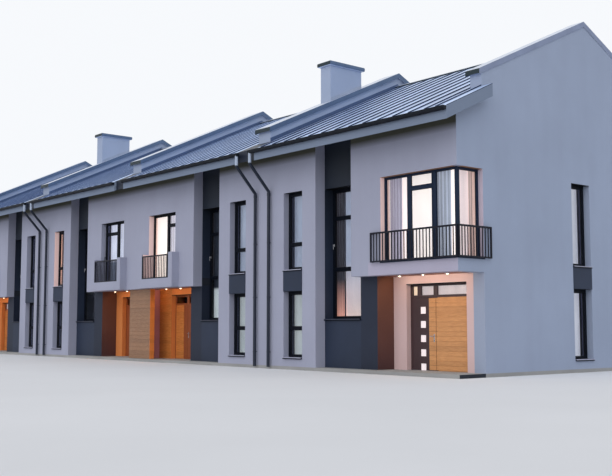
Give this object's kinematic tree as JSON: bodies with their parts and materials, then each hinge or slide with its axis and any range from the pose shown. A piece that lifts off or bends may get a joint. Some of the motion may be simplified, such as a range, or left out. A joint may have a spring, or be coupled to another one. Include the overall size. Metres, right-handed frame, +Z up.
{
  "type": "terraced house row",
  "caption": "Row of modern two-storey terraced houses with rendered walls, dark stair strips, balconies, metal roofs behind parapets and hinged front doors.",
  "frame": {"origin": "on the ground, under the middle of the row", "axes": "+X along the street front towards the gable, +Y from the front to the rear, +Z up"},
  "size_m": [32.796, 13.34, 10.3297],
  "materials": {
    "concrete": "trowelled concrete",
    "render": "fine off-white wall render",
    "porch_render": "warm off-white render inside the porches",
    "soffit_boards": "reddish brown ceiling boards",
    "eave_render": "smooth pale grey boards",
    "dark_cladding": "anthracite wall panels",
    "roof_metal": "blue-grey standing seam sheet",
    "cap_metal": "folded grey sheet",
    "gutter_metal": "dark coated sheet",
    "window_frame": "dark grey frames",
    "railing_metal": "black coated steel",
    "glass": "clear double glazing",
    "lamp": "lit round ceiling lights",
    "wood_boards": "honey-coloured boards with level grooves",
    "door_brown": "dark brown door and frame"
  },
  "bodies": {
    "building": {"balcony_piers": "render", "balcony_railings": "railing_metal", "balcony_slabs": "render", "chimney_caps": "cap_metal", "chimneys": "render", "corner_railing_front": "railing_metal", "corner_railing_side": "railing_metal", "corner_window_front": "window_frame", "corner_window_side": "window_frame", "door_hinges": "door_brown", "door_posts": "door_brown", "door_transoms": "door_brown", "downpipe_necks": "gutter_metal", "downpipes": "gutter_metal", "entrance_heads": "porch_render", "entrance_walls_far": "porch_render", "entrance_walls_near": "porch_render", "front_eaves": "eave_render", "front_glass": "glass", "front_roofs": "roof_metal", "front_window_frames": "window_frame", "gable_glass": "glass", "gable_spandrels": "dark_cladding", "gable_wall": "render", "gable_wall_ends": "render", "gable_window_frames": "window_frame", "ground_floor": "concrete", "gutters": "gutter_metal", "narrow_window_walls": "render", "parapet_caps": "cap_metal", "party_noses": "gutter_metal", "party_wall_1": "render", "party_wall_2": "render", "party_wall_2_base": "porch_render", "party_wall_3": "render", "party_wall_4": "render", "porch_dividers": "dark_cladding", "porch_lights": "lamp", "porch_screens": "wood_boards", "porch_side_walls": "dark_cladding", "porch_soffits": "soffit_boards", "rear_eaves": "eave_render", "rear_glass": "glass", "rear_roofs": "roof_metal", "rear_walls": "render", "rear_window_frames": "window_frame", "ridge_caps": "cap_metal", "side_panels": "wood_boards", "spandrel_panels": "dark_cladding", "strip_walls": "dark_cladding", "transom_glass": "glass", "upper_floor_front": "concrete", "upper_floor_rear": "concrete", "upper_front_walls": "render", "verge_strips": "eave_render", "wall_returns": "dark_cladding"},
    "door_a": {"door_leaf_a": "door_brown"},
    "door_b": {"door_leaf_b": "door_brown"},
    "door_c": {"door_leaf_c": "door_brown"},
    "door_d": {"door_leaf_d": "door_brown"}
  },
  "joints": [
    {"name": "door_hinge_a", "type": "hinge", "parent": "building", "child": "door_a", "pos_m": [13.438, -4.4767, 0.106], "axis": [0, 0, 1], "range_deg": [0, 90]},
    {"name": "door_hinge_b", "type": "hinge", "parent": "building", "child": "door_b", "pos_m": [2.836, -4.4767, 0.106], "axis": [0, 0, -1], "range_deg": [0, 90]},
    {"name": "door_hinge_c", "type": "hinge", "parent": "building", "child": "door_c", "pos_m": [-2.562, -4.4767, 0.106], "axis": [0, 0, 1], "range_deg": [0, 90]},
    {"name": "door_hinge_d", "type": "hinge", "parent": "building", "child": "door_d", "pos_m": [-13.164, -4.4767, 0.106], "axis": [0, 0, -1], "range_deg": [0, 90]}
  ]
}
